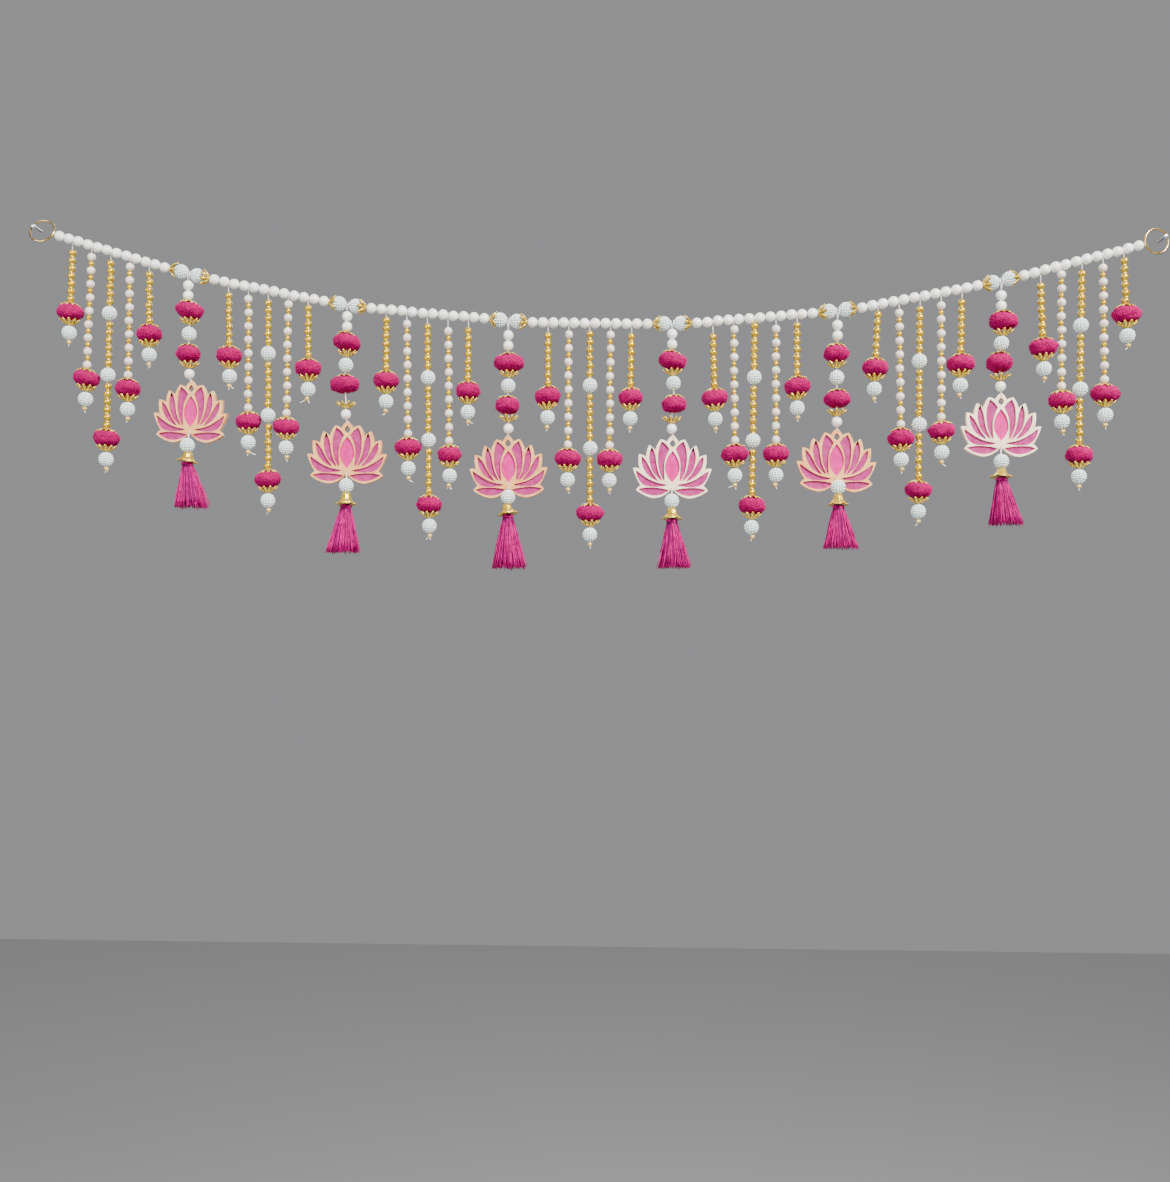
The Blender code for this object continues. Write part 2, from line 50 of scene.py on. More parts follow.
# Layout
BEAD_Y = -11.0
LOTUS_BACK_Y = -6.5
LOTUS_MIDDLE_Y = -7.6
LOTUS_FLOOR_Y = -9.0
LOTUS_FRONT_Y = -10.5
TASSEL_Y = -16.9
PEARL_R = 4.0
PEARL_PITCH = 8.0
PEARLS_A_RUN = 12
BALL_R = 6.0
SEED_BALL_R = BALL_R - 0.4
BALL_OFFSET = 6.5
GOLD_R = 2.85
GOLD_PITCH = 6.06
CREAM_R = 3.25
CREAM_PITCH = 10.6
SMALL_GOLD_R = 2.05
POMPOM_R = 10.3
POMPOM_DEEP = 9.8
POMPOM_CAP = 7.2
STRAND_TOP = 2.3
STRAND_ARCS = (12.0, 28.0, 44.0, 60.0, 76.0)
STRAND_KINDS = ("short", "medium", "long", "medium", "short")
CREAM_BEADS = 9
LONG_GROUP = 6
SHORT_GOLD_BEADS = 7
SHORTEST_DROP = 50.0
NAILS = {"left": (0.0, 0.0), "right": (868.3, -18.1)}
RING_RADII = {"left": 9.6, "right": 9.35}
RING_WIRE_R = 0.8
RING_OFFSETS = {"left": (6.2, -3.4), "right": (-6.1, -3.05)}
RING_LEANS = {"left": (17.0, 0.0), "right": (0.0, 10.0)}

Run = namedtuple("Run", "x z angle")
RUNS = (
    Run(20.0, -7.7, -16.99),
    Run(143.4, -43.6, -11.59),
    Run(266.6, -67.1, -5.63),
    Run(391.4, -79.2, -1.19),
    Run(517.0, -80.5, 4.32),
    Run(641.9, -69.9, 10.31),
    Run(763.5, -46.3, 14.25),
)
STRAND_DROPS = (
    (56.7, 104.2, 146.5, 102.9, 55.8),
    (57.0, 105.1, 147.0, 103.0, 54.6),
    (55.0, 105.1, 147.8, 107.8, 57.2),
    (56.8, 104.3, 145.9, 104.2, 56.7),
    (58.6, 102.9, 143.4, 105.1, 55.2),
    (48.2, 104.8, 146.9, 105.1, 57.1),
    (58.0, 102.0, 147.4, 105.1, 49.2),
)
STRAND_LEANS = (
    (-1.7, -1.6, -0.5, -0.3, 0.2),
    (1.0, 0.5, 0.5, -0.4, 0.1),
    (0.1, 0.9, 0.9, 0.9, -0.3),
    (-0.2, -0.4, 0.1, -0.5, -0.9),
    (1.4, 0.3, -1.1, -0.2, -0.1),
    (-2.6, 0.4, -0.9, -0.2, -1.3),
    (1.7, -0.3, -1.5, 0.2, 2.0),
)
PENDANTS = {
    "first_pearl_x": (-0.8, -0.3, 0.0, 0.0, 0.0, 0.2),
    "first_pearl": (9.3, 9.1, 11.6, 8.3, 11.4, 11.4),
    "upper_pompom_x": (0.8, 0.0, 0.6, 0.4, -1.0, 1.4),
    "upper_pompom": (29.0, 29.4, 33.0, 29.0, 33.0, 31.0),
    "upper_pompom_r": (10.9, 11.0, 12.0, 11.2, 9.8, 11.0),
    "middle_ball": (47.4, 46.8, 50.6, 46.0, 51.4, 47.8),
    "lower_pompom_x": (0.2, -1.6, -0.4, 1.4, -0.6, -1.8),
    "lower_pompom": (63.0, 62.0, 66.0, 62.4, 68.0, 63.0),
    "lower_pompom_r": (9.3, 11.9, 9.7, 9.8, 10.2, 10.0),
    "lower_cap": (69.6, 76.0, 73.8, 72.2, 76.2, 71.6),
    "last_pearl_x": (1.2, -0.4, 0.4, -0.4, -1.0, -1.2),
    "last_pearl": (78.8, 85.2, 83.6, 81.0, 85.2, 80.6),
    "lotus_x": (2.1, 0.4, 0.7, -0.2, -1.6, -1.0),
    "lotus_root": (121.4, 128.0, 126.0, 123.4, 127.7, 123.1),
    "lotus_turn": (1.0, 0.6, -1.0, 1.0, 1.2, 0.6),
    "lotus_width": (0.966, 1.035, 1.0, 1.0, 1.0, 1.0),
    "foot_ball_x": (2.9, 1.9, 1.0, -0.6, -1.4, -3.2),
    "foot_ball": (135.2, 141.0, 136.7, 136.7, 135.4, 138.3),
    "disc": (147.4, 154.7, 149.2, 149.6, 148.3, 149.4),
    "disc_tilt": (-9.0, 0.0, 9.0, 0.0, 0.0, -2.0),
    "silk_end_x": (7.3, -0.1, 1.9, 1.1, 0.2, -0.6),
    "silk_end": (182.7, 191.5, 190.4, 186.9, 181.0, 185.1),
}
PENDANT_COUNT = len(PENDANTS["lotus_x"])


# Colours and materials


def linear(code):
    """A colour such as D9A93A as linear red, green and blue."""
    channels = [int(code[k : k + 2], 16) / 255.0 for k in (0, 2, 4)]
    return tuple(c / 12.92 if c < 0.04045 else ((c + 0.055) / 1.055) ** 2.4 for c in channels)


Look = namedtuple("Look", "dark light roughness metallic scale bump sheen coat")
LOOKS = {
    "pearl": Look("F4F4EA", "FFFFFA", 0.18, 0.0, 300.0, 0.02, 0.0, 0.9),
    "cream": Look("DACDBE", "F1E6DA", 0.22, 0.0, 300.0, 0.02, 0.0, 0.8),
    "seed": Look("DAF0EA", "F6FFFC", 0.3, 0.0, 500.0, 0.03, 0.0, 0.4),
    "gold": Look("C09814", "F4CE40", 0.26, 0.7, 700.0, 0.05, 0.0, 0.1),
    "cap_gold": Look("C89E1C", "FADA60", 0.28, 0.7, 900.0, 0.08, 0.0, 0.1),
    "knot_gold": Look("C0A050", "ECD08C", 0.4, 0.4, 900.0, 0.1, 0.0, 0.0),
    "ring_gold": Look("B8964C", "E6CA84", 0.22, 0.95, 500.0, 0.03, 0.0, 0.0),
    "steel": Look("B9BBBE", "E6E8EA", 0.28, 0.9, 600.0, 0.03, 0.0, 0.0),
    "thread": Look("E2DED6", "F6F2EC", 0.6, 0.0, 1500.0, 0.2, 0.0, 0.0),
    # The darker core colour below is the same wool as the pile: painted shade deep under the
    # fibres.
    "pile_shade_core": Look("840044", "A80058", 0.95, 0.0, 700.0, 0.4, 0.0, 0.0),
    "pile": Look("A80060", "D4007E", 0.85, 0.0, 500.0, 0.0, 0.0, 0.0),
    "silk": Look("A0005C", "D40084", 0.36, 0.0, 260.0, 0.0, 0.0, 0.0),
    # The dark core colour below is the same silk as the threads: painted shade inside the tassel
    # between the threads.
    "silk_shade_core": Look("600040", "800058", 0.7, 0.0, 500.0, 0.2, 0.0, 0.0),
    "lotus_rim": Look("E0924C", "F0B474", 0.5, 0.0, 180.0, 0.06, 0.0, 0.1),
    # The paler frame colour below is the same frame as lotus_rim, painted lighter: painted light,
    # as if these frames stood in brighter light.
    "lotus_rim_lit": Look("F8D6AC", "FFEFD8", 0.5, 0.0, 180.0, 0.06, 0.0, 0.1),
    "lotus_pink": Look("9C2468", "AE3E7A", 0.6, 0.0, 220.0, 0.08, 0.0, 0.0),
    "lotus_heart": Look("C80C74", "D8248C", 0.55, 0.0, 220.0, 0.08, 0.0, 0.0),
}
MATERIALS = {}


def material(name):
    """A procedural material: its colour and roughness drift a little over the object."""
    if name in MATERIALS:
        return MATERIALS[name]
    look = LOOKS[name]
    made = bpy.data.materials.new(f"look_{name}")
    made.use_nodes = True
    nodes = made.node_tree.nodes
    links = made.node_tree.links
    shader = nodes["Principled BSDF"]
    shader.inputs["Metallic"].default_value = look.metallic
    shiny = look.metallic > 0.0 or look.coat > 0.0
    shader.inputs["Specular IOR Level"].default_value = 0.5 if shiny else 0.12
    shader.inputs["Sheen Weight"].default_value = look.sheen
    shader.inputs["Coat Weight"].default_value = look.coat
    shader.inputs["Coat Roughness"].default_value = 0.12
    place = nodes.new("ShaderNodeTexCoord")
    noise = nodes.new("ShaderNodeTexNoise")
    noise.inputs["Scale"].default_value = look.scale
    noise.inputs["Detail"].default_value = 3.0
    links.new(place.outputs["Object"], noise.inputs["Vector"])
    ramp = nodes.new("ShaderNodeValToRGB")
    ramp.color_ramp.elements[0].position = 0.35
    ramp.color_ramp.elements[0].color = (*linear(look.dark), 1.0)
    ramp.color_ramp.elements[1].position = 0.65
    ramp.color_ramp.elements[1].color = (*linear(look.light), 1.0)
    links.new(noise.outputs["Fac"], ramp.inputs["Fac"])
    links.new(ramp.outputs["Color"], shader.inputs["Base Color"])
    rough = nodes.new("ShaderNodeMapRange")
    rough.inputs["To Min"].default_value = look.roughness * 0.85
    rough.inputs["To Max"].default_value = min(1.0, look.roughness * 1.2)
    links.new(noise.outputs["Fac"], rough.inputs["Value"])
    links.new(rough.outputs["Result"], shader.inputs["Roughness"])
    if look.bump > 0.0:
        bump = nodes.new("ShaderNodeBump")
        bump.inputs["Strength"].default_value = look.bump
        bump.inputs["Distance"].default_value = 0.0004
        links.new(noise.outputs["Fac"], bump.inputs["Height"])
        links.new(bump.outputs["Normal"], shader.inputs["Normal"])
    MATERIALS[name] = made
    return made


# Mesh building: a shape is (corners as an array, faces as a list of arrays), in mm


class Piece:
    """Gathers shapes and materials and makes one object of them."""

    def __init__(self, name):
        self.name = name
        self.corners = []
        self.faces = []
        self.slots = []
        self.flats = []
        self.looks = []
        self.count = 0

    def add(self, shape, look, smooth=True):
        corners, faces = shape
        if look not in self.looks:
            self.looks.append(look)
        index = self.looks.index(look)
        for block in faces:
            self.faces.extend((block + self.count).tolist())
            self.slots.extend([index] * len(block))
            self.flats.extend([smooth] * len(block))
        self.corners.append(corners)
        self.count += len(corners)

    def make(self, nodes):
        mesh = bpy.data.meshes.new(self.name)
        corners = np.concatenate(self.corners) * MM
        mesh.from_pydata(corners.tolist(), [], self.faces)
        mesh.polygons.foreach_set("material_index", self.slots)
        mesh.polygons.foreach_set("use_smooth", self.flats)
        for look in self.looks:
            mesh.materials.append(material(look))
        mesh.update()
        thing = bpy.data.objects.new(self.name, mesh)
        bpy.context.scene.collection.objects.link(thing)
        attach(thing, "root")
        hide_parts(*nodes)
        return thing


def lathe(profile, segments, wave=None):
    """Revolve (radius, height) points about Z. wave(angle, step) may scale the radius."""
    angles = np.arange(segments) * 2.0 * np.pi / segments
    rows = []
    for step, (radius, height) in enumerate(profile):
        reach = np.full(segments, radius)
        rise = np.full(segments, height)
        if wave is not None:
            reach, rise = wave(angles, step, reach, rise)
        rows.append(np.stack([reach * np.cos(angles), reach * np.sin(angles), rise], 1))
    corners = np.concatenate(rows)
    near = np.arange(segments)
    far = (near + 1) % segments
    quads = []
    for step in range(len(profile) - 1):
        base = step * segments
        quads.append(
            np.stack([base + near, base + far, base + segments + far, base + segments + near], 1)
        )
    return corners, [np.concatenate(quads)]


def ball(radius, segments=16, rings=10, tall=1.0):
    turns = np.linspace(0.0, np.pi, rings + 1)
    profile = [(max(radius * math.sin(t), 0.01), -radius * tall * math.cos(t)) for t in turns]
    return lathe(profile, segments)


def merged(shapes):
    corners = []
    faces = []
    count = 0
    for points, blocks in shapes:
        corners.append(points)
        faces.extend(block + count for block in blocks)
        count += len(points)
    return np.concatenate(corners), faces


def moved(shape, centre, up=(0.0, 0.0, 1.0), twist=0.0, scale=(1.0, 1.0, 1.0)):
    """Turn a shape's Z to the up direction, twist it about it, and carry it to the centre."""
    corners, faces = shape
    axis = np.array(up, float)
    axis /= np.linalg.norm(axis)
    side = np.cross(axis, (0.0, 1.0, 0.0))
    if np.linalg.norm(side) < 1e-6:
        side = np.array([1.0, 0.0, 0.0])
    side /= -np.linalg.norm(side)
    back = np.cross(axis, side)
    c = math.cos(twist)
    s = math.sin(twist)
    frame_of = np.stack([side * c + back * s, back * c - side * s, axis])
    return (corners * np.array(scale)) @ frame_of + np.array(centre, float), faces


def tube(points, radius, sides=6, ends=None):
    """A round tube along points. radius may be one value or one for each point."""
    points = np.array(points, float)
    count = len(points)
    radii = np.broadcast_to(np.array(radius, float), count)
    ahead = np.gradient(points, axis=0)
    ahead /= np.linalg.norm(ahead, axis=1)[:, None]
    helper = np.array([0.0, 1.0, 0.0]) if abs(ahead[0][1]) < 0.8 else np.array([1.0, 0.0, 0.0])
    side = np.cross(ahead, helper)
    side /= np.linalg.norm(side, axis=1)[:, None]
    back = np.cross(ahead, side)
    angles = np.arange(sides) * 2.0 * np.pi / sides
    rings = (
        side[:, None, :] * np.cos(angles)[None, :, None]
        + back[:, None, :] * np.sin(angles)[None, :, None]
    )
    corners = (points[:, None, :] + rings * radii[:, None, None]).reshape(-1, 3)
    near = np.arange(sides)
    far = (near + 1) % sides
    quads = []
    for step in range(count - 1):
        base = step * sides
        above = base + sides
        quads.append(np.stack([base + near, base + far, above + far, above + near], 1))
    caps = [np.arange(sides)[None, ::-1], (np.arange(sides) + (count - 1) * sides)[None, :]]
    return corners, [np.concatenate(quads)] + caps


# Shapes that repeat


def seed_ball(radius):
    """A ball woven from rows of tiny pearls."""
    shapes = [ball(radius - 0.9, 14, 8)]
    seed_r = 0.92
    rows = 9
    dome = [(seed_r * math.sin(t), seed_r * math.cos(t)) for t in (1.5, 0.85, 0.02)]
    dome = lathe(dome, 6)
    reach = radius - seed_r * 0.9
    for row in range(rows):
        tilt = math.pi * (row + 0.5) / rows
        around = max(3, int(round(2.0 * math.pi * reach * math.sin(tilt) / 1.9)))
        for k in range(around):
            turn = 2.0 * math.pi * (k + 0.5 * (row % 2)) / around
            out = np.array(
                [math.sin(tilt) * math.cos(turn), math.sin(tilt) * math.sin(turn), math.cos(tilt)]
            )
            shapes.append(moved(dome, out * reach, out))
    return merged(shapes)


def petal_strip(points, widths, thick, turn):
    """A curved leaf along (radius, height) points, turned about Z."""
    rows = []
    count = len(points)
    for k, (reach, height) in enumerate(points):
        before = points[max(k - 1, 0)]
        after = points[min(k + 1, count - 1)]
        run = math.hypot(after[0] - before[0], after[1] - before[1])
        out = (-(after[1] - before[1]) / run, (after[0] - before[0]) / run)
        half = widths[k] / 2.0
        for across, lift in ((half, 0.0), (0.0, thick), (-half, 0.0), (0.0, -thick * 0.4)):
            rows.append((reach + out[0] * lift, across, height + out[1] * lift))
    corners = np.array(rows)
    c = math.cos(turn)
    s = math.sin(turn)
    turned = corners.copy()
    turned[:, 0] = corners[:, 0] * c - corners[:, 1] * s
    turned[:, 1] = corners[:, 0] * s + corners[:, 1] * c
    quads = []
    for k in range(count - 1):
        for side in range(4):
            near = k * 4 + side
            far = k * 4 + (side + 1) % 4
            quads.append((near, far, far + 4, near + 4))
    last = (count - 1) * 4
    ends = [(3, 2, 1, 0), (last, last + 1, last + 2, last + 3)]
    return turned, [np.array(quads), np.array(ends)]


def petal_cap(width, height, petals, bow, bead):
    """A stamped cap: petals with a bead at each tip round a small collar, open downwards.

    bow above 1 makes a dome, and bow below 1 a flaring cup.
    """
    steps = 5
    points = []
    for k in range(steps):
        t = k / (steps - 1)
        points.append((1.5 + (width - 1.5) * t, -height * t**bow))
    full = 2.0 * math.pi * width / petals
    widths = [0.9, full * 0.42, full * 0.62, full * 0.6, full * 0.3]
    shapes = []
    tip = ball(bead, 6, 4)
    for k in range(petals):
        turn = 2.0 * math.pi * k / petals
        shapes.append(petal_strip(points, widths, 0.5, turn))
        spot = (width * math.cos(turn), width * math.sin(turn), -height + 0.1)
        shapes.append(moved(tip, spot))
    collar = [(0.8, 0.5), (1.5, 0.6), (2.1, 0.2), (2.5, -0.5), (1.6, -0.8)]
    shapes.append(lathe(collar, 12))
    return merged(shapes)


def lumps_at(out, ways, phases):
    """A soft unevenness over directions, the same for a core and its pile."""
    total = np.zeros(len(out))
    for way, phase in zip(ways, phases):
        total += 0.018 * np.cos(2.6 * (out @ way) * np.pi + phase)
    return total


def pompom(radius, half, deep, seed):
    """A lumpy wool core under a dense short pile. deep is its reach to the front and back."""
    rng = np.random.default_rng(seed)
    ways = rng.normal(size=(6, 3))
    ways /= np.linalg.norm(ways, axis=1)[:, None]
    phases = rng.uniform(0.0, 6.28, 6)
    fur = 0.9
    size = np.array([radius - fur, deep - fur, half - fur])
    power = np.array([0.97, 0.97, 0.86])

    def surface(out):
        full = np.sign(out) * np.abs(out) ** power
        return full * size * (1.0 + lumps_at(out, ways, phases))[:, None]

    core = ball(1.0, 28, 16)
    out = core[0] / np.linalg.norm(core[0], axis=1)[:, None]
    corners = surface(out)
    count = PILE_COUNT
    spots = rng.normal(size=(count, 3))
    spots /= np.linalg.norm(spots, axis=1)[:, None]
    spots = spots[np.abs(spots[:, 2]) < 0.95]
    count = len(spots)
    base = surface(spots)
    way = spots / size
    way /= np.linalg.norm(way, axis=1)[:, None]
    way = way + rng.normal(size=(count, 3)) * 0.45
    way /= np.linalg.norm(way, axis=1)[:, None]
    length = rng.uniform(0.6, 1.35, count)
    side = np.cross(way, rng.normal(size=(count, 3)))
    side /= np.linalg.norm(side, axis=1)[:, None]
    back = np.cross(way, side)
    rings = []
    for k in range(3):
        turn = 2.0 * math.pi * k / 3.0
        offset = (side * math.cos(turn) + back * math.sin(turn)) * PILE_R
        rings.append(base - way * 0.25 + offset)
    tips = base + way * length[:, None]
    points = np.concatenate(rings + [tips])
    n = np.arange(count)
    faces = []
    for k in range(3):
        faces.append(np.stack([n + k * count, n + ((k + 1) % 3) * count, n + 3 * count], 1))
    return (corners, core[1]), (points, faces)


PILE_COUNT = 1900
PILE_R = 0.2
SEED_BALL = seed_ball(SEED_BALL_R)
PEARL = ball(PEARL_R - 0.03, 20, 12)
GOLD_BEAD = merged(
    [
        ball(GOLD_R, 14, 8),
        lathe([(1.95, -4.1), (1.7, -3.6), (1.65, -3.03), (1.7, -2.46), (1.95, -1.96)], 10),
    ]
)
CREAM_BEAD = ball(CREAM_R, 16, 10)
SMALL_GOLD = merged(
    [
        ball(SMALL_GOLD_R, 12, 7),
        lathe([(0.6, -2.3), (1.4, -2.15), (1.4, -1.7), (0.6, -1.5)], 8),
        lathe([(0.6, 1.5), (1.4, 1.7), (1.4, 2.15), (0.6, 2.3)], 8),
    ]
)
KNOT = ball(2.1, 8, 6, 0.9)
TOP_CAP = petal_cap(7.0, 2.4, 9, 1.9, 0.72)
LOW_CAP = petal_cap(6.9, 3.5, 9, 1.5, 0.9)
JOINT_CAP = petal_cap(5.7, 4.6, 7, 1.5, 0.8)


def direction(degrees):
    angle = math.radians(degrees)
    return np.array([math.cos(angle), 0.0, math.sin(angle)])


def run_point(run, distance):
    return np.array([run.x, BEAD_Y, run.z]) + direction(run.angle) * distance


def joint_ends(k):
    last = run_point(RUNS[k], (PEARLS_A_RUN - 1) * PEARL_PITCH)
    return last, run_point(RUNS[k + 1], 0.0)


def joint_middle(k):
    last, first = joint_ends(k)
    return (last + first) / 2.0


# Garland


def make_garland():
    pearls = Piece("garland_pearls")
    balls = Piece("garland_balls")
    caps = Piece("garland_caps")
    path = []
    for run in RUNS:
        for pearl in range(PEARLS_A_RUN):
            spot = run_point(run, pearl * PEARL_PITCH)
            path.append(spot)
            wobble = RNG.normal(size=3) * np.array([0.0, 0.25, 0.12])
            size = 1.0 + RNG.normal() * 0.012
            pearls.add(moved(PEARL, spot + wobble, scale=(size, size, size)), "pearl")
    pearls.add(tube(path, 0.45, 6), "thread")
    for k in range(len(RUNS) - 1):
        last, first = joint_ends(k)
        along = (first - last) / np.linalg.norm(first - last)
        middle = (first + last) / 2.0
        for sign in (-1.0, 1.0):
            centre = middle + along * sign * BALL_OFFSET
            twist = RNG.uniform(0.0, 3.0)
            balls.add(moved(SEED_BALL, centre, along * sign, twist), "seed")
            reach = np.linalg.norm(first - last) / 2.0 - PEARL_R - 0.6
            tip = middle + along * sign * reach
            caps.add(moved(JOINT_CAP, tip, along * sign, twist), "cap_gold")
    pearls.make(["garland"])
    balls.make(["garland"])
    caps.make(["garland"])


# Strands


def make_strand(k, s, run, kind):
    name = f"strand_{k + 1}_{s + 1}"
    drop = STRAND_DROPS[k][s]
    lean = math.radians(STRAND_LEANS[k][s])
    along_run = direction(run.angle)
    hang = run_point(run, STRAND_ARCS[s])
    top = hang + np.array([along_run[2], 0.0, -along_run[0]]) * STRAND_TOP
    centre = hang + np.array([math.sin(lean), 0.0, -math.cos(lean)]) * drop
    down = centre - top
    length = np.linalg.norm(down)
    down = down / length
    beads = Piece(f"{name}_beads")
    pile = Piece(f"{name}_pompom")
    end = Piece(f"{name}_ball")

    def at(offset):
        return top + down * offset

    def shaken(amount):
        return np.array([RNG.normal() * amount, RNG.normal() * amount, 0.0])

    rows = bead_column(kind, drop)
    column = rows[-1][1]
    start = length - POMPOM_CAP - column
    for what, offset in rows[:-1]:
        spot = at(start + offset) + shaken(0.12)
        up = -down + shaken(0.02)
        if what == "gold":
            beads.add(moved(GOLD_BEAD, spot, up), "gold")
        elif what == "small":
            beads.add(moved(SMALL_GOLD, spot, up), "gold")
        elif what == "cream":
            beads.add(moved(CREAM_BEAD, spot, up), "cream")
        else:
            end.add(moved(SEED_BALL, spot, up, RNG.uniform(0.0, 3.0)), "seed")
    beads.add(tube([hang + np.array([0.0, -0.5, 0.0]), top, at(start + 1.0)], 0.42, 6), "thread")
    loop = ring_points(hang, along_run, 1.0)
    beads.add(tube(loop, 0.35, 5), "thread")
    up = -down
    tilt = shaken(0.07)
    wide = POMPOM_R * (1.0 + RNG.normal() * 0.035)
    core, fur = pompom(wide, 6.9, POMPOM_DEEP, 100 + k * 10 + s)
    # The core's darker colour is painted shade under the pile.
    pile.add(moved(core, centre, up + tilt), "pile_shade_core")
    pile.add(moved(fur, centre, up + tilt), "pile")
    beads.add(moved(TOP_CAP, at(length - 7.3), up + tilt, RNG.uniform(0.0, 3.0)), "cap_gold")
    twist = RNG.uniform(0.0, 3.0)
    beads.add(moved(LOW_CAP, at(length + 9.7), -up - tilt * 0.5, twist), "cap_gold")
    end.add(moved(SEED_BALL, at(length + 16.3), up + tilt, RNG.uniform(0.0, 3.0)), "seed")
    knot = at(length + 23.8) + np.array([RNG.normal() * 0.4, 0.0, 0.0])
    end.add(moved(KNOT, knot, up + shaken(0.3)), "knot_gold")
    swing = RNG.normal() * 1.4
    tail = [at(length + 22.0), at(length + 25.0), at(length + 27.0) + np.array([swing, -0.4, 0.0])]
    end.add(tube(tail, [0.5, 0.55, 0.4], 6), "thread")
    if RNG.uniform() < 0.5:
        stray = np.array([RNG.normal() * 2.0, -0.8, -1.0 - RNG.uniform() * 1.2])
        points = [knot, knot + stray * 0.6, knot + stray * 1.5]
        end.add(tube(points, [0.4, 0.35, 0.3], 5), "thread")
    beads.make([name])
    pile.make([name])
    end.make([name])


def ring_points(centre, axis, radius, count=9):
    """A closed loop of points round an axis of the XZ plane."""
    side = np.array([-axis[2], 0.0, axis[0]])
    back = np.array([0.0, 1.0, 0.0])
    turns = np.linspace(0.0, 2.0 * np.pi, count)
    return [centre + (side * math.cos(t) + back * math.sin(t)) * radius for t in turns]


def bead_column(kind, drop):
    """The beads above a pompom as (kind, centre's offset), ended by the column's length."""
    rows = []
    if kind == "medium":
        for bead in range(CREAM_BEADS):
            rows.append(("cream", bead * CREAM_PITCH + CREAM_R))
            if bead < CREAM_BEADS - 1:
                rows.append(("small", bead * CREAM_PITCH + CREAM_R + CREAM_PITCH / 2.0))
        return rows + [("end", (CREAM_BEADS - 1) * CREAM_PITCH + 2.0 * CREAM_R)]
    if kind == "short":
        count = SHORT_GOLD_BEADS if drop > SHORTEST_DROP else SHORT_GOLD_BEADS - 1
        groups = (count,)
    else:
        groups = (LONG_GROUP, LONG_GROUP, LONG_GROUP)
    end = 0.0
    for place, count in enumerate(groups):
        if place > 0:
            rows.append(("ball", end + BALL_R))
            end += 2.0 * BALL_R
        for bead in range(count):
            rows.append(("gold", end + (bead + 0.5) * GOLD_PITCH))
        end += count * GOLD_PITCH
    return rows + [("end", end)]


# Pendants


def column_of(k):
    return {key: values[k] for key, values in PENDANTS.items()}


def make_chain(k):
    name = f"pendant_{k + 1}_chain"
    row = column_of(k)
    joint = joint_middle(k)
    pearls = Piece(f"{name}_pearls")
    piles = Piece(f"{name}_pompoms")
    caps = Piece(f"{name}_caps")
    up = np.array([0.0, 0.0, 1.0])

    def at(x, depth):
        return joint + np.array([x, 0.0, -depth])

    def shaken(amount):
        return np.array([RNG.normal() * amount, RNG.normal() * amount, 0.0])

    first_x = row["first_pearl_x"]
    for step in range(2):
        pearls.add(moved(PEARL, at(first_x, row["first_pearl"] + step * PEARL_PITCH)), "pearl")
    pearls.add(moved(PEARL, at(row["last_pearl_x"], row["last_pearl"])), "pearl")
    middle_x = (row["upper_pompom_x"] + row["lower_pompom_x"]) / 2.0
    spot = at(middle_x, row["middle_ball"])
    pearls.add(moved(SEED_BALL, spot, up, RNG.uniform(0.0, 3.0)), "seed")
    for place, half in (("upper", 7.0), ("lower", 6.8)):
        x = row[f"{place}_pompom_x"]
        depth = row[f"{place}_pompom"]
        tilt = shaken(0.08)
        seed = 500 + k * 10 + len(place) + int(depth)
        wide = row[f"{place}_pompom_r"]
        core, fur = pompom(wide, half, POMPOM_DEEP, seed)
        piles.add(moved(core, at(x, depth), up + tilt), "pile_shade_core")
        piles.add(moved(fur, at(x, depth), up + tilt), "pile")
        twist = RNG.uniform(0.0, 3.0)
        caps.add(moved(TOP_CAP, at(x, depth - half - 0.5), up + tilt, twist), "cap_gold")
    x = row["upper_pompom_x"]
    caps.add(moved(LOW_CAP, at(x, row["upper_pompom"] + 10.6), -up), "cap_gold")
    caps.add(moved(LOW_CAP, at(row["last_pearl_x"], row["lower_cap"] + 4.0), -up), "cap_gold")
    tip = lotus_spot(row, joint, (0.0, LOTUS_TOP - 2.4))
    string = [
        joint,
        at(first_x, row["first_pearl"]),
        at(first_x, row["first_pearl"] + 12.0),
        at(row["upper_pompom_x"], row["upper_pompom"]),
        at(middle_x, row["middle_ball"]),
        at(row["lower_pompom_x"], row["lower_pompom"]),
        at(row["last_pearl_x"], row["lower_cap"]),
        at(row["last_pearl_x"], row["last_pearl"] + PEARL_R),
        np.array([tip[0], LOTUS_FRONT_Y - 0.6, tip[2] + 2.0]),
        np.array([tip[0], LOTUS_FRONT_Y + 0.4, tip[2] - 1.0]),
    ]
    pearls.add(tube(string, 0.42, 6), "thread")
    last, first = joint_ends(k)
    along = (first - last) / np.linalg.norm(first - last)
    for sign in (-1.0, 1.0):
        legs = [
            joint + along * sign * 1.1 + np.array([0.0, -2.2, 1.6]),
            joint + along * sign * 0.9 + np.array([0.0, -2.6, -1.6]),
            at(first_x, row["first_pearl"] - PEARL_R + 0.4),
        ]
        pearls.add(tube(legs, 0.36, 6), "thread")
    pearls.make([name])
    piles.make([name])
    caps.make([name])


LOTUS_TOP = 38.1


def lotus_spot(row, joint, point):
    angle = math.radians(row["lotus_turn"])
    x, z = point
    turned_x = x * math.cos(angle) + z * math.sin(angle)
    turned_z = z * math.cos(angle) - x * math.sin(angle)
    return joint + np.array([row["lotus_x"] + turned_x, 0.0, turned_z - row["lotus_root"]])


def arc(a, b, bulge, steps=7):
    """Points of a curve from a to b that bows to its left by the bulge."""
    a = np.array(a, float)
    b = np.array(b, float)
    across = np.array([-(b - a)[1], (b - a)[0]])
    across /= np.linalg.norm(across)
    control = (a + b) / 2.0 + across * bulge * 2.0
    t = np.linspace(0.0, 1.0, steps)[:, None]
    return (1 - t) ** 2 * a + 2 * t * (1 - t) * control + t**2 * b


